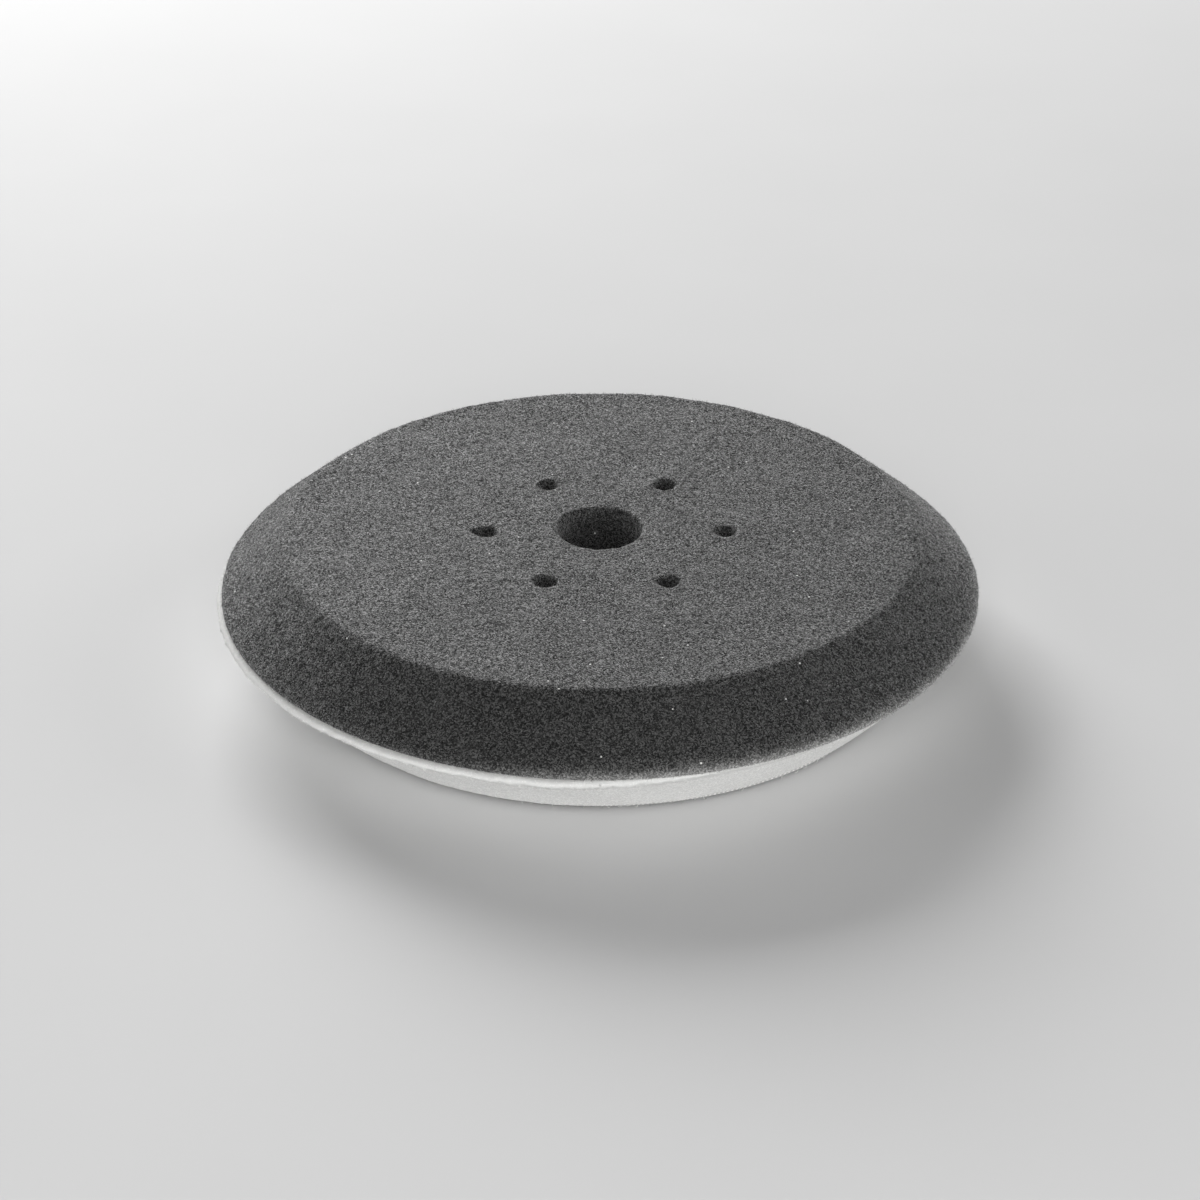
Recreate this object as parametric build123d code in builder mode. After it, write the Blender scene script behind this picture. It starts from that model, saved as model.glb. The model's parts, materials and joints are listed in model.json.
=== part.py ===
"""Polishing pad: a bonded stack of two foam layers on a hook-and-loop backing.

Units are millimetres. The origin is the centre of the loop face that meets the
backing plate, and +Z points out of the working face. Every layer is a separate
solid that touches the next one over a bonded face.
"""

import os

from build123d import *

# Driving sizes.
RIM_DIAMETER = 180.0
FACE_DIAMETER = 150.0
BASE_DIAMETER = 149.0
CENTRE_HOLE_DIAMETER = 20.0
VENT_DIAMETER = 5.2
VENT_CIRCLE_DIAMETER = 56.5
VENT_COUNT = 6

# The vents are punched in one stroke of their own, a little off the centre hole.
VENT_RING_CENTRE = (1.5, -2.0)

# Thickness of each layer, from the loop face up.
LOOP_THICKNESS = 1.2
BACKING_FILM_THICKNESS = 0.2
SUPPORT_FOAM_THICKNESS = 16.4
LAMINATION_FILM_THICKNESS = 0.2
FACE_FOAM_THICKNESS = 13.8

# Edge details: both foams end in a short upright lip at the rim.
FACE_LIP_HEIGHT = 1.4
SUPPORT_LIP_HEIGHT = 1.2
FACE_LIP_ROUNDING = 2.5
SUPPORT_LIP_ROUNDING = 0.5
FACE_EDGE_ROUNDING = 1.5
FILM_INSET = 0.8
LOOP_INSET = 1.5

# Heights worked out from the stack.
BACKING_FILM_Z = LOOP_THICKNESS
SUPPORT_FOAM_Z = BACKING_FILM_Z + BACKING_FILM_THICKNESS
LAMINATION_FILM_Z = SUPPORT_FOAM_Z + SUPPORT_FOAM_THICKNESS
FACE_FOAM_Z = LAMINATION_FILM_Z + LAMINATION_FILM_THICKNESS
TOP_Z = FACE_FOAM_Z + FACE_FOAM_THICKNESS

RIM_RADIUS = RIM_DIAMETER / 2
FACE_RADIUS = FACE_DIAMETER / 2
BASE_RADIUS = BASE_DIAMETER / 2


def air_passages(bottom, thickness):
    """Cut the centre hole and the ring of vents through the current part."""
    with BuildSketch(Plane.XY.offset(bottom)) as passages:
        Circle(CENTRE_HOLE_DIAMETER / 2)
        with Locations(VENT_RING_CENTRE):
            with PolarLocations(VENT_CIRCLE_DIAMETER / 2, VENT_COUNT):
                Circle(VENT_DIAMETER / 2)
    extrude(passages.sketch, amount=thickness, mode=Mode.SUBTRACT)


def flat_layer(bottom, thickness, radius):
    """Add a disc with its air passages to the current part."""
    with BuildSketch(Plane.XY.offset(bottom)) as disc:
        Circle(radius)
    extrude(disc.sketch, amount=thickness)
    air_passages(bottom, thickness)


# Face foam: flat working face, then a bevel that flares out to a rounded rim.
with BuildPart() as face_foam:
    with BuildSketch(Plane.XZ):
        with BuildLine():
            Polyline(
                (0, FACE_FOAM_Z),
                (RIM_RADIUS, FACE_FOAM_Z),
                (RIM_RADIUS, FACE_FOAM_Z + FACE_LIP_HEIGHT),
                (FACE_RADIUS, TOP_Z),
                (0, TOP_Z),
                close=True,
            )
        make_face()
    revolve(axis=Axis.Z)
    face_edge = face_foam.edges().filter_by(GeomType.CIRCLE).sort_by(Axis.Z)[-1]
    rim_edges = face_foam.edges().filter_by(GeomType.CIRCLE).group_by(SortBy.RADIUS)[-1]
    lip_edge = rim_edges.sort_by(Axis.Z)[-1]
    fillet(face_edge, FACE_EDGE_ROUNDING)
    fillet(lip_edge, FACE_LIP_ROUNDING)
    air_passages(FACE_FOAM_Z, FACE_FOAM_THICKNESS)

# Lamination film: the adhesive web that joins the two foams.
with BuildPart() as lamination_film:
    flat_layer(LAMINATION_FILM_Z, LAMINATION_FILM_THICKNESS, RIM_RADIUS - FILM_INSET)

# Support foam: a short upright lip at the rim, then an undercut in to the base.
with BuildPart() as support_foam:
    with BuildSketch(Plane.XZ):
        with BuildLine():
            Polyline(
                (0, SUPPORT_FOAM_Z),
                (BASE_RADIUS, SUPPORT_FOAM_Z),
                (RIM_RADIUS, LAMINATION_FILM_Z - SUPPORT_LIP_HEIGHT),
                (RIM_RADIUS, LAMINATION_FILM_Z),
                (0, LAMINATION_FILM_Z),
                close=True,
            )
        make_face()
    revolve(axis=Axis.Z)
    rim_edges = support_foam.edges().filter_by(GeomType.CIRCLE).group_by(SortBy.RADIUS)[-1]
    undercut_edge = rim_edges.sort_by(Axis.Z)[0]
    fillet(undercut_edge, SUPPORT_LIP_ROUNDING)
    air_passages(SUPPORT_FOAM_Z, SUPPORT_FOAM_THICKNESS)

# Backing film: the adhesive that holds the loop fabric.
with BuildPart() as backing_film:
    flat_layer(BACKING_FILM_Z, BACKING_FILM_THICKNESS, BASE_RADIUS - LOOP_INSET - FILM_INSET)

# Loop backing: knitted loop fabric that grips the hooks of a backing plate.
with BuildPart() as loop_backing:
    flat_layer(0, LOOP_THICKNESS, BASE_RADIUS - LOOP_INSET)

os.makedirs("parts", exist_ok=True)
layers = {
    "face_foam": face_foam,
    "lamination_film": lamination_film,
    "support_foam": support_foam,
    "backing_film": backing_film,
    "loop_backing": loop_backing,
}
for name, layer in layers.items():
    layer.part.label = name
    export_step(layer.part, f"parts/{name}.step")
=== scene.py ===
"""Polishing pad: foam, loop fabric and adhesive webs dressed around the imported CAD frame.

The pad is one body. Two foam layers replace their plain CAD solids, the loop fabric
becomes a ground cloth with a nap of loops, and the adhesive webs keep their CAD shape.
Every length is in metres.
"""

from __future__ import annotations

import json
import logging
import math
from collections.abc import Sequence
from dataclasses import dataclass
from enum import Enum

import bmesh
import bpy
import numpy as np
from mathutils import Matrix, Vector


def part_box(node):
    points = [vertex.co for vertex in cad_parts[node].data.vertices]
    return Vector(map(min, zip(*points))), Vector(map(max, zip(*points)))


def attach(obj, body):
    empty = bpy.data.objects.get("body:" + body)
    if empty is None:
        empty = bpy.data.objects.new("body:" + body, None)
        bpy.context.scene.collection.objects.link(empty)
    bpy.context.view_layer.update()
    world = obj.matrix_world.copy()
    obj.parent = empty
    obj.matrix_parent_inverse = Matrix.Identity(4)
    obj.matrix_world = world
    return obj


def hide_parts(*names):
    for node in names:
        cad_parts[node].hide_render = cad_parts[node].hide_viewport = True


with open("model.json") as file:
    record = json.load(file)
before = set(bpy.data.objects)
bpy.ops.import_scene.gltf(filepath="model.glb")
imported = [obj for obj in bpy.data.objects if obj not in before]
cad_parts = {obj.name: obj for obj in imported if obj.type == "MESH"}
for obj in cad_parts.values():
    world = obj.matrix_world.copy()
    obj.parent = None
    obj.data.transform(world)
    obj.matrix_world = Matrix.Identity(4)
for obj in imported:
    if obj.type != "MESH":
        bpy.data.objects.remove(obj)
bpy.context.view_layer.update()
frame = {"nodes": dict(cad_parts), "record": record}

LOG = logging.getLogger("polishing_pad")
MM = 0.001
BODY = "root"
# Name of the vertex attribute for fray; on the face foam it also carries painted sheen at the foot of the
# rim.
FRAY_AND_SHEEN = "fray_and_sheen"

Colour = tuple[float, float, float]


# ---- shader maths


class Wire:
    """A shader output that Python arithmetic turns into Math nodes."""

    def __init__(self, shader: Shader, socket: bpy.types.NodeSocket) -> None:
        """Keep the socket and the shader it belongs to."""
        self.shader = shader
        self.socket = socket

    def _math(self, operation: str, left: Term, right: Term) -> Wire:
        """Add a Math node for one operation on two terms."""
        return self.shader.node("ShaderNodeMath", {"operation": operation}, {0: left, 1: right})

    def __add__(self, other: Term) -> Wire:
        """Sum."""
        return self._math("ADD", self, other)

    def __radd__(self, other: Term) -> Wire:
        """Sum with a number on the left."""
        return self._math("ADD", other, self)

    def __sub__(self, other: Term) -> Wire:
        """Difference."""
        return self._math("SUBTRACT", self, other)

    def __rsub__(self, other: Term) -> Wire:
        """Difference from a number on the left."""
        return self._math("SUBTRACT", other, self)

    def __mul__(self, other: Term) -> Wire:
        """Product."""
        return self._math("MULTIPLY", self, other)

    def __rmul__(self, other: Term) -> Wire:
        """Product with a number on the left."""
        return self._math("MULTIPLY", other, self)

    def rise(self, low: float, high: float) -> Wire:
        """Smooth step from 0 at low to 1 at high."""
        values = {"Value": self, "From Min": low, "From Max": high, "To Min": 0.0, "To Max": 1.0}
        return self.shader.node("ShaderNodeMapRange", {"interpolation_type": "SMOOTHSTEP"}, values)

    def clip(self) -> Wire:
        """The value held between 0 and 1."""
        return self.shader.node("ShaderNodeClamp", {}, {"Value": self})

    def fall(self, low: float, high: float) -> Wire:
        """Smooth step from 1 at low to 0 at high."""
        return 1.0 - self.rise(low, high)


Term = Wire | float | Sequence[float]


class Shader:
    """A material under construction, with one method that adds any node."""

    def __init__(self, name: str) -> None:
        """Start an empty material.

        Args:
            name: The material's name.
        """
        self.material = bpy.data.materials.new(name)
        self.material.use_nodes = True
        self.tree = self.material.node_tree
        self.tree.nodes.clear()

    @staticmethod
    def _socket(sockets: Sequence[bpy.types.NodeSocket], key: str | int) -> bpy.types.NodeSocket:
        """Find an enabled socket by name, or any socket by index."""
        if isinstance(key, int):
            return sockets[key]
        return next(s for s in sockets if s.enabled and s.name == key)

    def node(
        self,
        kind: str,
        settings: dict[str, object] | None = None,
        values: dict[str | int, Term] | None = None,
        output: str | int = 0,
    ) -> Wire:
        """Add a node, set it up and wire it.

        Args:
            kind: The node's type name.
            settings: Properties set before any socket.
            values: Numbers, colours or wires for its input sockets.
            output: The output socket that the result stands for.

        Returns:
            The chosen output.
        """
        made = self.tree.nodes.new(kind)
        for name, value in (settings or {}).items():
            setattr(made, name, value)
        for key, value in (values or {}).items():
            socket = self._socket(made.inputs, key)
            if isinstance(value, Wire):
                self.tree.links.new(value.socket, socket)
            else:
                socket.default_value = value
        return Wire(self, self._socket(made.outputs, output))

    def place(self, scale: Sequence[float] = (1, 1, 1), turn: Sequence[float] = (0, 0, 0)) -> Wire:
        """Object coordinates, stretched and turned.

        Args:
            scale: Factor on each axis.
            turn: Rotation about each axis, in radians.

        Returns:
            The mapped coordinates.
        """
        where = self.node("ShaderNodeTexCoord", output="Object")
        return self.node("ShaderNodeMapping", {}, {"Vector": where, "Rotation": turn, "Scale": scale})

    def noise(self, where: Wire, size: float, detail: float = 2.0, rough: float = 0.5) -> Wire:
        """Cloudy noise from 0 to 1 whose lumps are about size across."""
        values = {"Vector": where, "Scale": 1.0 / size, "Detail": detail, "Roughness": rough}
        return self.node("ShaderNodeTexNoise", {}, values)

    def cells(self, where: Wire, size: float, feature: str = "F1") -> Wire:
        """Voronoi distance, in cell widths, for cells about size across."""
        values = {"Vector": where, "Scale": 1.0 / size}
        return self.node("ShaderNodeTexVoronoi", {"feature": feature}, values, "Distance")

    def grit(self, where: Wire, size: float) -> Wire:
        """A random value from 0 to 1 for each cell about size across."""
        values = {"Vector": where, "Scale": 1.0 / size}
        speck = self.node("ShaderNodeTexVoronoi", {"feature": "F1"}, values, "Color")
        return self.node("ShaderNodeSeparateColor", {}, {"Color": speck}, "Red")

    def blend(self, factor: Term, low: Term, high: Term) -> Wire:
        """Colour that goes from low to high as the factor goes from 0 to 1."""
        shades = {"A": self.solid_colour(low), "B": self.solid_colour(high)}
        return self.node("ShaderNodeMix", {"data_type": "RGBA"}, {"Factor": factor, **shades}, "Result")

    @staticmethod
    def solid_colour(value: Term) -> Term:
        """Give a plain colour its alpha and leave a wire alone."""
        return value if isinstance(value, Wire) else (*value, 1.0)

    def bump(self, height: Wire, distance: float, strength: float) -> Wire:
        """Normal of a surface raised by height times distance."""
        values = {"Height": height, "Distance": distance, "Strength": strength}
        return self.node("ShaderNodeBump", {}, values)

    def surface(self, **sockets: Term) -> Wire:
        """A Principled surface; socket names have underscores for spaces."""
        values = {name.replace("_", " "): value for name, value in sockets.items()}
        return self.node("ShaderNodeBsdfPrincipled", {}, values)

    def close(self, surface: Wire) -> bpy.types.Material:
        """Wire a surface to the output and hand over the material."""
        end = self.tree.nodes.new("ShaderNodeOutputMaterial")
        self.tree.links.new(surface.socket, end.inputs["Surface"])
        return self.material

    def finish(self, **sockets: Term) -> bpy.types.Material:
        """Close the material with one Principled surface.

        Args:
            sockets: Values by socket name, with underscores for spaces.

        Returns:
            The finished material.
        """
        return self.close(self.surface(**sockets))


# ---- finishes


@dataclass(frozen=True)
class FoamFinish:
    """Cut polyurethane foam: pale strut tips over dark open cells."""

    name: str
    strut: Colour
    pore: Colour
    cell: float
    web_width: float
    relief: float
    sheen: float
    sheen_tint: Colour
    roughness: float = 0.9
    gloss: float = 0.2
    fleck: float = 0.0
    fleck_spacing: float = 6.5 * MM
    fleck_colour: Colour = (0.75, 0.75, 0.73)
    cloud: float = 0.1
    cloud_size: float = 14 * MM
    grit: float = 0.27 * MM
    gritty: float = 0.8
    least_strut: float = 0.04
    # Gain and pale grey for the fray attribute: on the face foam they give fraying fibre and painted sheen
    # at the foot of the rim; on the support foam the gain darkens the torn lip.
    fray_and_sheen_gain: float = 0.35
    fray_and_sheen_grey: Colour = (0.36, 0.36, 0.35)

    def make(self) -> bpy.types.Material:
        """Build the foam material.

        Returns:
            The material.
        """
        shader = Shader(self.name)
        where = shader.place()
        drift = {"Vector": where, "Scale": 0.5 / self.cell}
        wander = shader.node("ShaderNodeTexNoise", {}, drift, "Color")
        moved = {0: wander, 1: (self.cell * 0.8,) * 3, 2: where}
        shifted = shader.node("ShaderNodeVectorMath", {"operation": "MULTIPLY_ADD"}, moved)
        web = shader.cells(shifted, self.cell, "DISTANCE_TO_EDGE").fall(0.02, self.web_width)
        tips = shader.cells(shifted, self.cell * 0.5).fall(0.1, 0.5)
        grain = shader.noise(where, self.cell * 0.9, 1.0)
        solid = web * 0.4 + tips * grain.rise(0.38, 0.6) * 0.85
        grit = shader.grit(where, self.grit)
        cloud = shader.noise(where, self.cloud_size, 3.0)
        # Fray attribute: on the face foam it lifts the strut share, part fraying fibre and part painted
        # sheen; on the support foam it darkens the torn lip.
        fray_and_sheen = shader.node("ShaderNodeAttribute", {"attribute_name": FRAY_AND_SHEEN}, output="Fac")
        share = solid * 0.15 + grit * grit * self.gritty + (cloud - 0.5) * self.cloud
        share = share + fray_and_sheen * self.fray_and_sheen_gain + self.least_strut
        colour = self.strut
        if self.fleck:
            fleck = shader.cells(where, self.fleck_spacing).fall(0.028, 0.042) * self.fleck
            # Painted sheen and fray: the strut colour turns pale grey at the foot of the face foam's rim.
            fray_and_sheen_colour = shader.blend(fray_and_sheen, self.strut, self.fray_and_sheen_grey)
            colour = shader.blend(fleck, fray_and_sheen_colour, self.fleck_colour)
            share = share + fleck
        relief = shader.bump(solid * 0.6 + grit * 0.5, self.relief, 0.7)
        strut = shader.surface(
            Base_Color=shader.solid_colour(colour),
            Roughness=self.roughness,
            Specular_IOR_Level=self.gloss,
            Sheen_Weight=self.sheen,
            Sheen_Roughness=0.45,
            Sheen_Tint=(*self.sheen_tint, 1.0),
            Normal=relief,
        )
        pore = shader.surface(
            Base_Color=shader.solid_colour(self.pore),
            Roughness=1.0,
            Specular_IOR_Level=0.0,
            Normal=relief,
        )
        return shader.close(shader.node("ShaderNodeMixShader", {}, {0: share.clip(), 1: pore, 2: strut}))


@dataclass(frozen=True)
class StrutFinish:
    """Loose strut ends: the foam's own colour, a little paler."""

    name: str
    colour: Colour

    def make(self) -> bpy.types.Material:
        """Build the strut material.

        Returns:
            The material.
        """
        shader = Shader(self.name)
        shade = shader.noise(shader.place(), 0.8 * MM, 1.0)
        dark = tuple(part * 0.6 for part in self.colour)
        return shader.finish(
            Base_Color=shader.blend(shade.rise(0.35, 0.65), dark, self.colour),
            Roughness=0.85,
            Specular_IOR_Level=0.3,
        )


@dataclass(frozen=True)
class WebFinish:
    """Hot-melt adhesive web: milky, faintly shiny, with a random mesh of threads."""

    name: str = "adhesive_web"
    thread: Colour = (0.62, 0.61, 0.56)
    gap: Colour = (0.3, 0.3, 0.28)
    mesh: float = 1.4 * MM

    def make(self) -> bpy.types.Material:
        """Build the adhesive material.

        Returns:
            The material.
        """
        shader = Shader(self.name)
        where = shader.place()
        threads = shader.cells(where, self.mesh, "DISTANCE_TO_EDGE").fall(0.04, 0.16)
        smear = shader.noise(where, 6 * MM)
        return shader.finish(
            Base_Color=shader.blend(threads, self.gap, self.thread),
            Roughness=0.35 + smear * 0.3,
            Normal=shader.bump(threads, 0.05 * MM, 0.6),
        )


@dataclass(frozen=True)
class KnitFinish:
    """Warp-knit ground: wales along one axis, courses across, slightly fuzzy."""

    name: str
    yarn: Colour
    gap: Colour
    wale: float = 1.0 * MM
    course: float = 0.7 * MM

    def make(self) -> bpy.types.Material:
        """Build the knit material.

        Returns:
            The material.
        """
        shader = Shader(self.name)
        where = shader.place()
        ribs = self._wave(shader, where, "X", self.wale)
        rows = self._wave(shader, where, "Y", self.course)
        fibre = shader.noise(where, 0.25 * MM, 2.0)
        yarn = (ribs * 0.6 + ribs * rows * 0.6 + fibre * 0.3).rise(0.15, 1.1)
        return shader.finish(
            Base_Color=shader.blend(yarn, self.gap, self.yarn),
            Roughness=0.9,
            Sheen_Weight=0.3,
            Sheen_Roughness=0.4,
            Normal=shader.bump(yarn, 0.15 * MM, 0.8),
        )

    @staticmethod
    def _wave(shader: Shader, where: Wire, axis: str, pitch: float) -> Wire:
        """Rounded ribs along one axis, one every pitch."""
        values = {"Vector": where, "Scale": math.pi / (10 * pitch), "Distortion": 0.6, "Detail": 1.0}
        settings = {"bands_direction": axis, "wave_profile": "SIN"}
        return shader.node("ShaderNodeTexWave", settings, values, "Fac")


@dataclass(frozen=True)
class FloorFinish:
    """Pale matt studio floor with a very faint mottle."""

    name: str = "studio_floor"
    light: Colour = (0.6, 0.6, 0.6)
    dark: Colour = (0.57, 0.57, 0.57)

    def make(self) -> bpy.types.Material:
        """Build the floor material.

        Returns:
            The material.
        """
        shader = Shader(self.name)
        mottle = shader.noise(shader.place(), 80 * MM)
        return shader.finish(
            Base_Color=shader.blend(mottle, self.dark, self.light),
            Roughness=0.8,
            Specular_IOR_Level=0.2,
        )


class Tone(Enum):
    """Finishes of the visible foams and fabrics."""

    FACE_FOAM = FoamFinish(
        name="cut_dark_foam",
        strut=(0.058, 0.058, 0.0568),
        pore=(0.004, 0.0042, 0.0042),
        cell=0.6 * MM,
        web_width=0.17,
        relief=0.25 * MM,
        sheen=1.0,
        sheen_tint=(0.8, 0.8, 0.8),
        roughness=0.6,
        gloss=0.7,
        fleck=0.8,
    )
    SUPPORT_FOAM = FoamFinish(
        name="skived_pale_foam",
        strut=(0.9, 0.9, 0.885),
        pore=(0.62, 0.62, 0.61),
        cell=0.5 * MM,
        web_width=0.3,
        relief=0.07 * MM,
        sheen=0.2,
        sheen_tint=(1.0, 1.0, 1.0),
        cloud=0.12,
        fray_and_sheen_gain=-0.6,
    )
    FACE_STRUT = StrutFinish("face_strut", (0.24, 0.24, 0.235))
    SUPPORT_STRUT = StrutFinish("support_strut", (0.85, 0.85, 0.83))
    WEB = WebFinish()
    GROUND = KnitFinish("knit_ground", (0.66, 0.66, 0.645), (0.4, 0.4, 0.39))
    LOOP = StrutFinish("loop_yarn", (0.8, 0.8, 0.78))
    FLOOR = FloorFinish()

    def material(self) -> bpy.types.Material:
        """The finish's material, made the first time it is asked for."""
        return bpy.data.materials.get(self.value.name) or self.value.make()


# ---- mesh tools


def smooth_noise(points: np.ndarray, size: float, seed: int) -> np.ndarray:
    """Smooth random value at each point, on a lattice.

    Args:
        points: Places, one row each.
        size: Distance between lattice points.
        seed: Number that sets the pattern.

    Returns:
        One value per point, from -1 to 1.
    """
    scaled = points / size
    corner = np.floor(scaled).astype(np.int64)
    ease = scaled - corner
    ease = ease * ease * (3.0 - 2.0 * ease)
    total = np.zeros(len(points))
    for offset in np.ndindex(2, 2, 2):
        share = np.prod(np.where(offset, ease, 1.0 - ease), axis=1)
        total += share * lattice_value(corner + offset, seed)
    return total


def lattice_value(corner: np.ndarray, seed: int) -> np.ndarray:
    """Fixed random value from -1 to 1 at each whole-number corner."""
    primes = np.array([73856093, 19349663, 83492791], dtype=np.int64)
    mixed = (corner * primes).sum(axis=1) + seed * 2654435761
    mixed = (mixed ^ (mixed >> 13)) * 1274126177
    return ((mixed ^ (mixed >> 16)) & 0xFFFF) / 32767.5 - 1.0


def arc(centre: tuple[float, float], radius: float, start: float, end: float, steps: int = 6) -> list:
    """Points along an arc in the radius-height plane, angles in degrees."""
    turns = np.radians(np.linspace(start, end, steps + 1))
    return [(centre[0] + radius * math.cos(t), centre[1] + radius * math.sin(t)) for t in turns]


def face_outwards(mesh: bpy.types.Mesh) -> None:
    """Turn every face of a closed mesh outwards."""
    work = bmesh.new()
    work.from_mesh(mesh)
    bmesh.ops.recalc_face_normals(work, faces=work.faces)
    work.to_mesh(mesh)
    work.free()


def ring_mesh(name: str, rings: np.ndarray, capped: bool) -> bpy.types.Object:
    """Join rings of points into a closed mesh.

    Args:
        name: The object's name.
        rings: Array of rings, points in each, and x, y, z.
        capped: True for a rod with two end caps, False for a closed collar.

    Returns:
        The new object, with its faces pointing outwards.
    """
    count, around = rings.shape[:2]
    faces = []
    for row in range(count - 1 if capped else count):
        above = (row + 1) % count
        for step in range(around):
            ahead = (step + 1) % around
            faces.append(
                (row * around + step, row * around + ahead, above * around + ahead, above * around + step)
            )
    if capped:
        faces.append(tuple(reversed(range(around))))
        faces.append(tuple(range((count - 1) * around, count * around)))
    mesh = bpy.data.meshes.new(name)
    mesh.from_pydata(rings.reshape(-1, 3).tolist(), [], faces)
    face_outwards(mesh)
    made = bpy.data.objects.new(name, mesh)
    bpy.context.scene.collection.objects.link(made)
    return made


def turned(name: str, outline: Sequence[tuple[float, float]], around: int) -> bpy.types.Object:
    """Turn a closed outline, given counter-clockwise as radius and height, about the Z axis."""
    angles = np.linspace(0.0, 2.0 * math.pi, around, endpoint=False)
    profile = np.array(outline)
    rings = np.empty((len(profile), around, 3))
    rings[:, :, 0] = profile[:, :1] * np.cos(angles)
    rings[:, :, 1] = profile[:, :1] * np.sin(angles)
    rings[:, :, 2] = profile[:, 1:]
    return ring_mesh(name, rings, capped=False)


def settle(made: bpy.types.Object) -> None:
    """Apply every modifier and keep the result as a plain mesh."""
    graph = bpy.context.evaluated_depsgraph_get()
    plain = bpy.data.meshes.new_from_object(made.evaluated_get(graph), depsgraph=graph)
    made.modifiers.clear()
    old = made.data
    made.data = plain
    bpy.data.meshes.remove(old)


def discard(made: bpy.types.Object) -> None:
    """Remove a helper object and its mesh."""
    mesh = made.data
    bpy.data.objects.remove(made)
    bpy.data.meshes.remove(mesh)


def resize(made: bpy.types.Object, factor: float) -> None:
    """Scale a mesh about the origin."""
    write_points(made.data, read_points(made.data) * factor)


def punch(blank: bpy.types.Object, cutters: Sequence[bpy.types.Object]) -> None:
    """Cut every cutter out of a blank and remove the cutters.

    The cut is worked out in millimetres, where the solver's tolerance is far finer
    than the foam's details.
    """
    resize(blank, 1.0 / MM)
    for cutter in cutters:
        resize(cutter, 1.0 / MM)
        cut = blank.modifiers.new(cutter.name, "BOOLEAN")
        cut.operation = "DIFFERENCE"
        cut.solver = "FAST"
        cut.object = cutter
    settle(blank)
    resize(blank, MM)
    for cutter in cutters:
        discard(cutter)


def remesh(made: bpy.types.Object, voxel: float) -> None:
    """Rebuild a closed mesh from even, voxel-sized faces."""
    step = made.modifiers.new("voxels", "REMESH")
    step.mode = "VOXEL"
    step.voxel_size = voxel
    step.use_smooth_shade = True
    settle(made)


def read_points(mesh: bpy.types.Mesh) -> np.ndarray:
    """Vertex places, one row each."""
    flat = np.empty(len(mesh.vertices) * 3)
    mesh.vertices.foreach_get("co", flat)
    return flat.reshape(-1, 3)


def read_normals(mesh: bpy.types.Mesh) -> np.ndarray:
    """Vertex normals, one row each."""
    flat = np.empty(len(mesh.vertices) * 3)
    mesh.vertex_normals.foreach_get("vector", flat)
    return flat.reshape(-1, 3)


def write_points(mesh: bpy.types.Mesh, points: np.ndarray) -> None:
    """Move every vertex to its new place."""
    mesh.vertices.foreach_set("co", points.ravel())
    mesh.update()


# ---- layout


@dataclass(frozen=True)
class Vent:
    """One small air hole and the way its mouth was torn by the punch."""

    angle: float
    tail_angle: float
    tail: float
    widen: float = 0.0


@dataclass(frozen=True)
class Layout:
    """Heights and radii that the layers share."""

    rim_radius: float
    hole_radius: float
    face_bottom: float
    face_top: float
    support_bottom: float
    support_top: float
    loop_bottom: float
    loop_top: float
    loop_radius: float
    face_radius: float = 75.0 * MM
    base_radius: float = 74.5 * MM
    vent_radius: float = 2.6 * MM
    vent_circle: float = 28.25 * MM
    vent_centre: tuple[float, float] = (1.5 * MM, -2.0 * MM)
    vents: tuple[Vent, ...] = (
        Vent(0.0, 165.0, 0.5 * MM),
        Vent(60.0, 95.0, 0.4 * MM, 0.1 * MM),
        Vent(120.0, -10.0, 0.7 * MM, -0.25 * MM),
        Vent(180.0, 175.0, 1.7 * MM),
        Vent(240.0, 20.0, 0.5 * MM, 0.1 * MM),
        Vent(300.0, 25.0, 0.6 * MM, 0.1 * MM),
    )

    @classmethod
    def from_frame(cls) -> Layout:
        """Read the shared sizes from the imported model.

        Returns:
            The layout.
        """
        face_low, face_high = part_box("face_foam")
        support_low, support_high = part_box("support_foam")
        loop_low, loop_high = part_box("loop_backing")
        mounts = {mount["name"]: mount for mount in frame["record"]["mounts"]}
        return cls(
            rim_radius=face_high[0],
            hole_radius=mounts["centre_hole"]["dims"]["r_mm"] * MM,
            face_bottom=face_low[2],
            face_top=face_high[2],
            support_bottom=support_low[2],
            support_top=support_high[2],
            loop_bottom=loop_low[2],
            loop_top=loop_high[2],
            loop_radius=loop_high[0],
        )

    @property
    def seam(self) -> float:
        """Height of the glue line between the two foams."""
        return (self.face_bottom + self.support_top) / 2

    def vent_place(self, vent: Vent) -> tuple[float, float]:
        """Centre of one vent."""
        turn = math.radians(vent.angle)
        return (
            self.vent_centre[0] + self.vent_circle * math.cos(turn),
            self.vent_centre[1] + self.vent_circle * math.sin(turn),
        )

    def passage_distance(self, points: np.ndarray) -> np.ndarray:
        """Distance in plan from each point to the nearest wall of an air passage."""
        nearest = np.abs(np.hypot(points[:, 0], points[:, 1]) - self.hole_radius)
        for vent in self.vents:
            x, y = self.vent_place(vent)
            off = np.abs(np.hypot(points[:, 0] - x, points[:, 1] - y) - self.vent_radius)
            nearest = np.minimum(nearest, off)
        return nearest


# ---- foam layers


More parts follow.
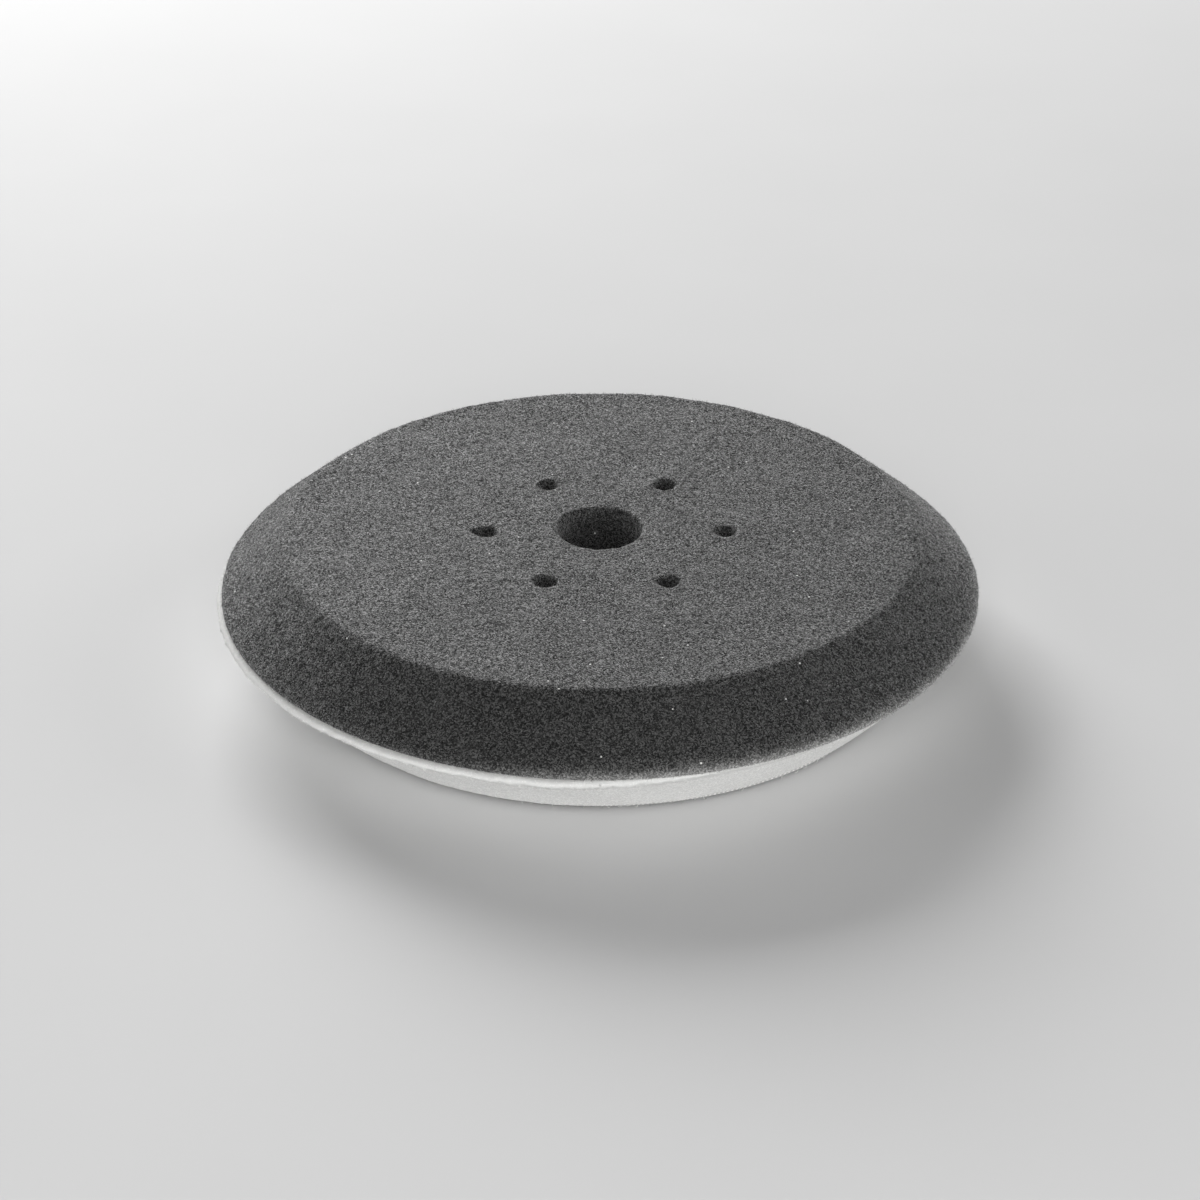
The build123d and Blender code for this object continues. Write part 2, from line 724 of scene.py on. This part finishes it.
@dataclass
class FoamLayer:
    """Common steps of both foam layers: turn, punch, remesh, roughen and dress."""

    layout: Layout
    bottom: float
    top: float
    node: str
    tone: Tone
    voxel: float = 0.6 * MM
    mouth_flare: float = 0.0
    mouth_depth: float = 1.1 * MM
    tail_depth: float = 2.0 * MM
    tail_width: float = 0.3
    punch_shrink: float = 0.35 * MM
    ragged: float = 0.22 * MM
    overshoot: float = 2.0 * MM
    around: int = 256

    def build(self) -> bpy.types.Object:
        """Make the layer, attach it to the body and hide its plain CAD part.

        Returns:
            The finished piece.
        """
        piece = turned(f"{self.node}_skin", self.outline(), self.around)
        punch(piece, [self.vent_cutter(vent) for vent in self.layout.vents])
        remesh(piece, self.voxel)
        points = read_points(piece.data)
        write_points(piece.data, self.roughen(points, read_normals(piece.data)))
        # Fray share per vertex; on the face foam it also places painted sheen.
        fray_and_sheen = piece.data.attributes.new(FRAY_AND_SHEEN, "FLOAT", "POINT")
        fray_and_sheen.data.foreach_set("value", self.fray_and_sheen_share(points).astype(np.float32))
        piece.data.materials.clear()
        piece.data.materials.append(self.tone.material())
        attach(piece, BODY)
        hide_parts(self.node)
        return piece

    def outline(self) -> list[tuple[float, float]]:
        """Closed outline of the layer, radius and height, counter-clockwise."""
        raise NotImplementedError

    def roughen(self, points: np.ndarray, normals: np.ndarray) -> np.ndarray:
        """Give the smooth surface its cut, porous relief."""
        raise NotImplementedError

    def fray_and_sheen_share(self, points: np.ndarray) -> np.ndarray:
        """Share of fray, and on the face foam of painted sheen, at each vertex: none unless the layer says
        so.
        """
        return np.zeros(len(points))

    def vent_cutter(self, vent: Vent) -> bpy.types.Object:
        """Rod with the ragged cross-section of one vent.

        Args:
            vent: The vent to cut.

        Returns:
            A closed cutter.
        """
        x, y = self.layout.vent_place(vent)
        heights = np.linspace(self.bottom - self.overshoot, self.top + self.overshoot, 22)
        angles = np.linspace(0.0, 2.0 * math.pi, 40, endpoint=False)
        turn, height = np.meshgrid(angles, heights)
        depth = np.clip(self.top - height, 0.0, None)
        flare = self.mouth_flare * np.exp(-depth / self.mouth_depth) * (1.0 + 0.6 * np.sin(turn))
        away = np.abs((turn - math.radians(vent.tail_angle) + math.pi) % (2 * math.pi) - math.pi)
        tail = vent.tail * np.exp(-((away / self.tail_width) ** 2)) * np.exp(-depth / self.tail_depth)
        probe = np.stack([np.cos(turn), np.sin(turn), height / (3.0 * MM)], axis=-1).reshape(-1, 3)
        ragged = smooth_noise(probe, 0.55, int(vent.angle) + 7).reshape(turn.shape) * self.ragged
        plain = self.layout.vent_radius - self.punch_shrink + vent.widen
        radius = plain + flare + tail + ragged
        rings = np.stack([x + radius * np.cos(turn), y + radius * np.sin(turn), height], axis=-1)
        return ring_mesh("vent_cutter", rings, capped=True)


@dataclass
class FaceFoam(FoamLayer):
    """Dark working foam: flat face, soft outer edge, bevel and rounded rim."""

    voxel: float = 0.55 * MM
    mouth_flare: float = 0.35 * MM
    edge_rounding: float = 2.2 * MM
    rim_rounding: float = 2.2 * MM
    rim_height: float = 1.3 * MM
    hole_rounding: float = 0.7 * MM
    lump: float = 0.13 * MM
    wave: float = 0.16 * MM
    # Side and height of the pale band at the foot of the rim: fraying fibre and painted sheen.
    fray_and_sheen_angle: float = 345.0
    fray_and_sheen_height: float = 1.9 * MM

    def outline(self) -> list[tuple[float, float]]:
        """Hole, bonded underside, rounded rim, bevel, soft edge and face."""
        lay = self.layout
        rise = lay.face_top - lay.face_bottom - self.rim_height
        lean = math.degrees(math.atan2(rise, lay.rim_radius - lay.face_radius))
        rim_tip = (lay.rim_radius, lay.face_bottom + self.rim_height)
        rim = self.corner(rim_tip, self.rim_rounding, 0.0, 90.0 - lean)
        edge = self.corner((lay.face_radius, lay.face_top), self.edge_rounding, 90.0 - lean, 90.0)
        round_hole = (lay.hole_radius + self.hole_rounding, lay.face_top - self.hole_rounding)
        mouth = arc(round_hole, self.hole_rounding, 90.0, 180.0)
        return [
            (lay.hole_radius, lay.face_bottom),
            (lay.rim_radius - 0.4 * MM, lay.seam),
            (lay.rim_radius, lay.seam + 0.4 * MM),
            *rim,
            *edge,
            *mouth,
        ]

    @staticmethod
    def corner(tip: tuple[float, float], radius: float, start: float, end: float) -> list:
        """Round a convex corner whose two sides face the start and end angles."""
        middle = math.radians((start + end) / 2)
        back = radius / math.cos(math.radians((end - start) / 2))
        centre = (tip[0] - back * math.cos(middle), tip[1] - back * math.sin(middle))
        return arc(centre, radius, start, end)

    def roughen(self, points: np.ndarray, normals: np.ndarray) -> np.ndarray:
        """Cells, lumps and a slow wave on every face that shows.

        Args:
            points: Vertex places.
            normals: Vertex normals.

        Returns:
            The new places.
        """
        shown = np.clip((points[:, 2] - self.layout.face_bottom) / (1.0 * MM), 0.0, 1.0)
        fine = smooth_noise(points, 1.1 * MM, 3) + 0.6 * smooth_noise(points, 2.3 * MM, 4)
        slow = smooth_noise(points, 11.0 * MM, 5)
        flat = np.abs(normals[:, 2]) > 0.95
        height = self.lump * fine * np.where(flat, 0.75, 1.0) + self.wave * slow
        return points + normals * (height * shown)[:, None]

    def fray_and_sheen_share(self, points: np.ndarray) -> np.ndarray:
        """Frayed fibre and painted sheen along the foot of the rim, most of it on one side.

        Args:
            points: Vertex places.

        Returns:
            A share from 0 to 1 for each vertex.
        """
        lay = self.layout
        turn = np.arctan2(points[:, 1], points[:, 0])
        # The one-sided part is painted sheen; the even share all round is fraying fibre.
        side = np.clip((np.cos(turn - math.radians(self.fray_and_sheen_angle)) + 0.1) / 0.5, 0.0, 1.0)
        ragged = 1.0 + 0.2 * smooth_noise(points, 1.2 * MM, 21)
        foot = np.exp(-((((points[:, 2] - lay.seam) / self.fray_and_sheen_height) * ragged) ** 2))
        outer = np.hypot(points[:, 0], points[:, 1]) > lay.rim_radius - 3.0 * MM
        return foot * outer * (0.15 + 0.85 * side)


@dataclass
class SupportFoam(FoamLayer):
    """Pale firm foam: fraying upright lip at the rim, smooth undercut, small base."""

    lip_height: float = 1.2 * MM
    lip_rounding: float = 0.45 * MM
    base_rounding: float = 0.5 * MM
    slip: float = 1.5 * MM
    slip_angle: float = 218.0
    tuck: float = 2.2 * MM
    tuck_angle: float = 345.0
    fray: float = 0.22 * MM
    lump: float = 0.05 * MM

    def outline(self) -> list[tuple[float, float]]:
        """Hole, base, undercut, lip and bonded top."""
        lay = self.layout
        lip_foot = lay.support_top - self.lip_height
        return [
            (lay.hole_radius, lay.support_bottom),
            (lay.base_radius - self.base_rounding, lay.support_bottom),
            (lay.base_radius, lay.support_bottom + 0.25 * MM),
            (lay.rim_radius - self.lip_rounding, lip_foot - 0.35 * MM),
            (lay.rim_radius, lip_foot + 0.2 * MM),
            (lay.rim_radius, lay.seam - self.lip_rounding),
            (lay.rim_radius - self.lip_rounding, lay.seam),
            (lay.hole_radius, lay.support_top),
        ]

    def roughen(self, points: np.ndarray, normals: np.ndarray) -> np.ndarray:
        """Shift the lip to one side, fray it, and leave the undercut nearly smooth.

        Args:
            points: Vertex places.
            normals: Vertex normals.

        Returns:
            The new places.
        """
        lay = self.layout
        radius = np.hypot(points[:, 0], points[:, 1])
        turn = np.arctan2(points[:, 1], points[:, 0])
        shown = np.clip((lay.support_top - points[:, 2]) / (0.4 * MM), 0.25, 1.0)
        at_lip = np.clip((radius - (lay.rim_radius - 2.5 * MM)) / (1.5 * MM), 0.0, 1.0)
        rough = smooth_noise(points, 1.0 * MM, 13) + 0.8 * smooth_noise(points, 2.4 * MM, 14)
        height = rough * (self.lump + (self.fray - self.lump) * at_lip)
        height += 0.12 * MM * smooth_noise(points, 9.0 * MM, 15)
        moved = points + normals * (height * shown)[:, None]
        toward = math.radians(self.slip_angle)
        side = np.cos(turn - toward) - 0.15
        reach = np.clip((radius - lay.base_radius) / (lay.rim_radius - lay.base_radius), 0.0, 1.0)
        tucked = np.clip((np.cos(turn - math.radians(self.tuck_angle)) - 0.2) / 0.4, 0.0, 1.0)
        body = np.clip(2.0 * radius / lay.base_radius - 1.0, 0.0, 1.0)
        draw = self.tuck * tucked * (0.3 * body + 0.7 * reach**1.5)
        outward = np.stack([np.cos(turn), np.sin(turn), np.zeros(len(turn))], axis=1)
        return moved + outward * (self.slip * side * reach**3 - draw)[:, None]

    def fray_and_sheen_share(self, points: np.ndarray) -> np.ndarray:
        """Torn, more open foam on the upright lip."""
        outer = np.hypot(points[:, 0], points[:, 1]) - (self.layout.rim_radius - 2.0 * MM)
        return np.clip(outer / (1.0 * MM), 0.0, 1.0)


# ---- loose struts


class Tree:
    """A geometry node tree under construction."""

    def __init__(self, name: str, values: dict[str, float]) -> None:
        """Start a tree with a geometry in and out, and named number inputs.

        Args:
            name: The tree's name.
            values: Number by input name; a whole number makes an integer input.
        """
        self.group = bpy.data.node_groups.new(name, "GeometryNodeTree")
        self.values = values
        self.keys: dict[str, str] = {}
        face = self.group.interface
        face.new_socket("Geometry", in_out="INPUT", socket_type="NodeSocketGeometry")
        face.new_socket("Geometry", in_out="OUTPUT", socket_type="NodeSocketGeometry")
        for label, value in values.items():
            kind = "NodeSocketInt" if isinstance(value, int) else "NodeSocketFloat"
            socket = face.new_socket(label, in_out="INPUT", socket_type=kind)
            socket.default_value = value
            self.keys[label] = socket.identifier
        self.source = self.group.nodes.new("NodeGroupInput")

    def add(self, kind: str, settings: dict | None = None, values: dict | None = None) -> bpy.types.Node:
        """Add a node, then set its properties and its inputs.

        Args:
            kind: The node's type name.
            settings: Properties set first.
            values: Numbers or output sockets by input name or index.

        Returns:
            The new node.
        """
        made = self.group.nodes.new(kind)
        for name, value in (settings or {}).items():
            setattr(made, name, value)
        for key, value in (values or {}).items():
            socket = made.inputs[key]
            if isinstance(value, bpy.types.NodeSocket):
                self.group.links.new(value, socket)
            else:
                socket.default_value = value
        return made

    def product(self, left: bpy.types.NodeSocket, right: bpy.types.NodeSocket) -> bpy.types.NodeSocket:
        """Multiply two numbers."""
        return self.add("ShaderNodeMath", {"operation": "MULTIPLY"}, {0: left, 1: right}).outputs[0]

    def scatter(
        self,
        spots: bpy.types.Node,
        shape: bpy.types.NodeSocket,
        lean: tuple[Sequence[float], Sequence[float]],
        size: Sequence[bpy.types.NodeSocket],
    ) -> bpy.types.NodeSocket:
        """Put one leaning, scaled shape on every spot.

        Args:
            spots: The node that makes the points.
            shape: The mesh to repeat.
            lean: Least and greatest turn about each axis, in radians.
            size: Scale along each axis.

        Returns:
            The instances.
        """
        spread = {0: lean[0], 1: lean[1], "Seed": self.source.outputs["Seed"]}
        tilt = self.add("FunctionNodeRandomValue", {"data_type": "FLOAT_VECTOR"}, spread)
        tilted = {0: spots.outputs["Rotation"], 1: tilt.outputs[0]}
        turn = self.add("FunctionNodeRotateRotation", {"rotation_space": "LOCAL"}, tilted)
        scale = self.add("ShaderNodeCombineXYZ", {}, dict(enumerate(size)))
        placed = {
            "Points": spots.outputs["Points"],
            "Instance": shape,
            "Rotation": turn.outputs[0],
            "Scale": scale.outputs[0],
        }
        return self.add("GeometryNodeInstanceOnPoints", {}, placed).outputs[0]

    def close(self, instances: bpy.types.NodeSocket, material: bpy.types.Material) -> None:
        """Realize the instances, give them their material and end the tree."""
        real = self.add("GeometryNodeRealizeInstances", {}, {"Geometry": instances})
        look = {"Geometry": real.outputs[0], "Material": material}
        dressed = self.add("GeometryNodeSetMaterial", {}, look)
        self.add("NodeGroupOutput", {}, {0: dressed.outputs[0]})

    def grow(self, name: str, base: bpy.types.Object) -> bpy.types.Object:
        """Run the tree on a copy of a mesh and keep the result as a plain mesh.

        Args:
            name: The new piece's name.
            base: The object whose surface carries the growth.

        Returns:
            The new object.
        """
        made = bpy.data.objects.new(name, base.data.copy())
        bpy.context.scene.collection.objects.link(made)
        step = made.modifiers.new(name, "NODES")
        step.node_group = self.group
        for label, value in self.values.items():
            step[self.keys[label]] = value
        settle(made)
        return made


@dataclass
class StrutFuzz:
    """Cut strut ends that stand out of a foam surface, thickest along its edges."""

    name: str
    slot: str
    tone: Tone
    density: float
    length: float
    width: float
    seed: int
    lean: float = 1.1

    def build(self, foam: bpy.types.Object, weight: np.ndarray) -> bpy.types.Object:
        """Grow the struts on a foam layer.

        Args:
            foam: The layer that carries them.
            weight: Share of the full density at each vertex.

        Returns:
            The finished piece.
        """
        layer = foam.data.attributes.new("strut_weight", "FLOAT", "POINT")
        layer.data.foreach_set("value", weight.astype(np.float32))
        piece = self.tree().grow(self.name, foam)
        foam.data.attributes.remove(foam.data.attributes["strut_weight"])
        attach(piece, BODY)
        return piece

    def tree(self) -> Tree:
        """Points by weight, a three-sided stub on each, tilted at random."""
        sizes = {"Density": self.density, "Length": self.length, "Width": self.width, "Seed": self.seed}
        tree = Tree(f"{self.name}_tree", sizes)
        given = tree.source.outputs
        single = {"data_type": "FLOAT"}
        weight = tree.add("GeometryNodeInputNamedAttribute", single, {"Name": "strut_weight"})
        density = tree.product(given["Density"], weight.outputs[0])
        spread = {"Mesh": given["Geometry"], "Density": density, "Seed": given["Seed"]}
        spots = tree.add("GeometryNodeDistributePointsOnFaces", {}, spread)
        cone = {"Vertices": 3, "Radius Top": 0.25, "Radius Bottom": 0.5, "Depth": 1.0}
        stub = tree.add("GeometryNodeMeshCone", {}, cone)
        vary = tree.add("FunctionNodeRandomValue", single, {2: 0.4, 3: 1.3})
        long = tree.product(given["Length"], vary.outputs[1])
        size = (given["Width"], given["Width"], long)
        lean = ((-self.lean, -self.lean, 0.0), (self.lean, self.lean, 6.28))
        grown = tree.scatter(spots, stub.outputs["Mesh"], lean, size)
        tree.close(grown, self.tone.material())
        return tree


# ---- loop backing


@dataclass
class LoopBacking:
    """Hook-and-loop fabric: a knitted ground cloth with a nap of loops under it."""

    layout: Layout
    ground: float = 0.45 * MM
    spacing: float = 1.42 * MM
    loop_width: float = 1.1 * MM
    yarn: float = 0.07
    seed: int = 5

    def build(self) -> tuple[bpy.types.Object, bpy.types.Object]:
        """Make the ground cloth and its loops.

        Returns:
            The cloth and the nap.
        """
        cloth = self.cloth()
        nap = self.nap(cloth)
        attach(cloth, BODY)
        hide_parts("loop_backing")
        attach(nap, BODY)
        return cloth, nap

    def cloth(self) -> bpy.types.Object:
        """The ground cloth, punched like the foams."""
        lay = self.layout
        low = lay.loop_top - self.ground
        outline = [
            (lay.hole_radius, low),
            (lay.loop_radius, low),
            (lay.loop_radius, lay.loop_top),
            (lay.hole_radius, lay.loop_top),
        ]
        cloth = turned("loop_ground", outline, 192)
        cutters = [self.vent_cutter(vent) for vent in lay.vents]
        punch(cloth, cutters)
        cloth.data.materials.clear()
        cloth.data.materials.append(Tone.GROUND.material())
        return cloth

    def vent_cutter(self, vent: Vent) -> bpy.types.Object:
        """Plain round rod through the cloth at one vent."""
        x, y = self.layout.vent_place(vent)
        turn = np.linspace(0.0, 2.0 * math.pi, 32, endpoint=False)
        ring = np.stack([np.cos(turn), np.sin(turn), np.zeros(32)], axis=1) * self.layout.vent_radius
        low = ring + (x, y, self.layout.loop_bottom - 1.0 * MM)
        high = ring + (x, y, self.layout.loop_top + 1.0 * MM)
        return ring_mesh("loop_vent_cutter", np.stack([low, high]), capped=True)

    def nap(self, cloth: bpy.types.Object) -> bpy.types.Object:
        """Loops hanging from the underside of the cloth."""
        gap = self.layout.loop_top - self.ground - self.layout.loop_bottom
        drop = 0.98 * gap / (0.5 + self.yarn)
        sizes = {"Spacing": self.spacing, "Drop": drop, "Width": self.loop_width, "Seed": self.seed}
        tree = Tree("loop_nap_tree", sizes)
        given = tree.source.outputs
        facing = tree.add("GeometryNodeInputNormal")
        parts = tree.add("ShaderNodeSeparateXYZ", {}, {0: facing.outputs[0]})
        below = {"data_type": "FLOAT", "operation": "LESS_THAN"}
        under = tree.add("FunctionNodeCompare", below, {0: parts.outputs["Z"], 1: -0.5})
        spread = {
            "Mesh": given["Geometry"],
            "Selection": under.outputs[0],
            "Distance Min": given["Spacing"],
            "Density Max": 1.0e7,
            "Seed": given["Seed"],
        }
        method = {"distribute_method": "POISSON"}
        spots = tree.add("GeometryNodeDistributePointsOnFaces", method, spread)
        by_radius = {"mode": "RADIUS"}
        bend = {"Resolution": 6, "Radius": 0.5, "Start Angle": -0.35, "Sweep Angle": 3.84}
        bow = tree.add("GeometryNodeCurveArc", by_radius, bend)
        girth = {"Resolution": 3, "Radius": self.yarn}
        ring = tree.add("GeometryNodeCurvePrimitiveCircle", by_radius, girth)
        path = {"Curve": bow.outputs["Curve"], "Profile Curve": ring.outputs["Curve"]}
        hoop = tree.add("GeometryNodeCurveToMesh", {}, path)
        stand = {"Geometry": hoop.outputs[0], "Rotation": (math.pi / 2, 0.0, 0.0)}
        upright = tree.add("GeometryNodeTransform", {}, stand)
        lean = ((-0.5, -0.3, 0.0), (0.5, 0.3, 3.14))
        size = (given["Width"], given["Width"], given["Drop"])
        grown = tree.scatter(spots, upright.outputs[0], lean, size)
        tree.close(grown, Tone.LOOP.material())
        return tree.grow("loop_nap", cloth)


# ---- studio


@dataclass(frozen=True)
class SoftLight:
    """A soft box aimed at the pad."""

    name: str
    place: tuple[float, float, float]
    width: float
    height: float
    watts: float

    def build(self, aim: Vector) -> bpy.types.Object:
        """Hang the light and point it.

        Args:
            aim: The place it points at.

        Returns:
            The light.
        """
        lamp = bpy.data.lights.new(self.name, "AREA")
        lamp.shape = "RECTANGLE"
        lamp.size = self.width
        lamp.size_y = self.height
        lamp.energy = self.watts
        made = bpy.data.objects.new(self.name, lamp)
        made.visible_camera = False
        made.location = self.place
        made.rotation_euler = (aim - Vector(self.place)).to_track_quat("-Z", "Y").to_euler()
        bpy.context.scene.collection.objects.link(made)
        return made


@dataclass
class Studio:
    """Pale floor, soft lights, camera and plain surroundings."""

    floor_side: float = 6.0
    horizon: float = 0.38
    zenith: float = 0.04
    camera_distance: float = 0.741
    camera_elevation: float = 29.9
    camera_lens: float = 91.9
    aim_height: float = 12.25 * MM
    lights: tuple[SoftLight, ...] = (
        SoftLight("back_box", (-0.7, 1.9, 0.85), 1.2, 0.8, 74.0),
        SoftLight("left_box", (-1.6, -0.3, 0.7), 1.0, 0.8, 5.0),
        SoftLight("right_box", (1.7, 0.2, 0.8), 1.0, 0.8, 7.0),
        SoftLight("front_low_box", (0.25, -1.1, 0.15), 1.2, 0.26, 6.0),
        SoftLight("front_box", (0.0, -1.5, 0.9), 1.0, 0.8, 17.0),
    )

    def build(self) -> None:
        """Set everything up around the pad."""
        aim = Vector((0.0, 0.0, self.aim_height))
        for light in self.lights:
            light.build(aim)
        self.floor()
        self.surroundings()
        self.camera(aim)
        bpy.context.scene.view_settings.view_transform = "Standard"

    def floor(self) -> None:
        """Lay the floor just under the pad."""
        half = self.floor_side / 2
        corners = [(-half, -half, 0.0), (half, -half, 0.0), (half, half, 0.0), (-half, half, 0.0)]
        mesh = bpy.data.meshes.new("floor")
        mesh.from_pydata(corners, [], [(0, 1, 2, 3)])
        mesh.materials.append(Tone.FLOOR.material())
        floor = bpy.data.objects.new("floor", mesh)
        bpy.context.scene.collection.objects.link(floor)

    def surroundings(self) -> None:
        """Pale walls all round, darker overhead."""
        world = bpy.data.worlds.new("surroundings")
        world.use_nodes = True
        tree = world.node_tree
        where = tree.nodes.new("ShaderNodeTexCoord")
        parts = tree.nodes.new("ShaderNodeSeparateXYZ")
        shade = tree.nodes.new("ShaderNodeMapRange")
        shade.interpolation_type = "SMOOTHSTEP"
        fade = {"From Min": 0.1, "From Max": 0.3, "To Min": self.horizon, "To Max": self.zenith}
        for name, value in fade.items():
            shade.inputs[name].default_value = value
        background = tree.nodes["Background"]
        background.inputs["Color"].default_value = (1.0, 1.0, 1.0, 1.0)
        tree.links.new(where.outputs["Generated"], parts.inputs[0])
        tree.links.new(parts.outputs["Z"], shade.inputs["Value"])
        tree.links.new(shade.outputs["Result"], background.inputs["Strength"])
        bpy.context.scene.world = world

    def camera(self, aim: Vector) -> None:
        """Place the camera in front of the pad, looking down at it."""
        lift = math.radians(self.camera_elevation)
        back = Vector((0.0, -math.cos(lift), math.sin(lift)))
        lens = bpy.data.cameras.new("camera")
        lens.lens = self.camera_lens
        lens.sensor_width = 36.0
        made = bpy.data.objects.new("camera", lens)
        made.location = back * self.camera_distance
        made.rotation_euler = (aim - made.location).to_track_quat("-Z", "Y").to_euler()
        bpy.context.scene.collection.objects.link(made)
        bpy.context.scene.camera = made


# ---- main


def edge_weight(layout: Layout, foam: bpy.types.Object, edges: Sequence[float], rest: float) -> np.ndarray:
    """Share of full strut density at each vertex: one along edges and mouths, rest elsewhere.

    Args:
        layout: The shared sizes.
        foam: The layer that carries the struts.
        edges: Radii of the circular edges.
        rest: Share on the open surface.

    Returns:
        One weight per vertex.
    """
    points = read_points(foam.data)
    radius = np.hypot(points[:, 0], points[:, 1])
    near = layout.passage_distance(points)
    for edge in edges:
        near = np.minimum(near, np.abs(radius - edge))
    weight = rest + (1.0 - rest) * np.exp(-((near / (1.2 * MM)) ** 2))
    bonded = np.abs(points[:, 2] - layout.seam) < 0.25 * MM
    hidden = bonded & (radius < layout.rim_radius - 1.0 * MM)
    return np.where(hidden, 0.0, weight)


def report(piece: bpy.types.Object) -> None:
    """Log a piece's name and how many faces it has."""
    LOG.info("%s: %d faces", piece.name, len(piece.data.polygons))


def main() -> None:
    """Build every piece of the pad and its studio."""
    logging.basicConfig(level=logging.INFO, format="%(name)s: %(message)s")
    layout = Layout.from_frame()
    face = FaceFoam(layout, layout.face_bottom, layout.face_top, "face_foam", Tone.FACE_FOAM).build()
    report(face)
    low, high = layout.support_bottom, layout.support_top
    support = SupportFoam(layout, low, high, "support_foam", Tone.SUPPORT_FOAM).build()
    report(support)
    face_fuzz = StrutFuzz("face_struts", "face_foam", Tone.FACE_STRUT, 1.6e6, 0.5 * MM, 0.08 * MM, 11)
    rim = [layout.rim_radius, layout.face_radius]
    report(face_fuzz.build(face, edge_weight(layout, face, rim, 0.25)))
    tone = Tone.SUPPORT_STRUT
    lip_fuzz = StrutFuzz("lip_struts", "support_foam", tone, 2.2e6, 0.45 * MM, 0.09 * MM, 12)
    report(lip_fuzz.build(support, edge_weight(layout, support, [layout.rim_radius], 0.0)))
    for piece in LoopBacking(layout).build():
        report(piece)
    for node in ("lamination_film", "backing_film"):
        film = frame["nodes"][node]
        film.data.materials.clear()
        film.data.materials.append(Tone.WEB.material())
        report(film)
    Studio().build()


if __name__ == "__main__":
    main()
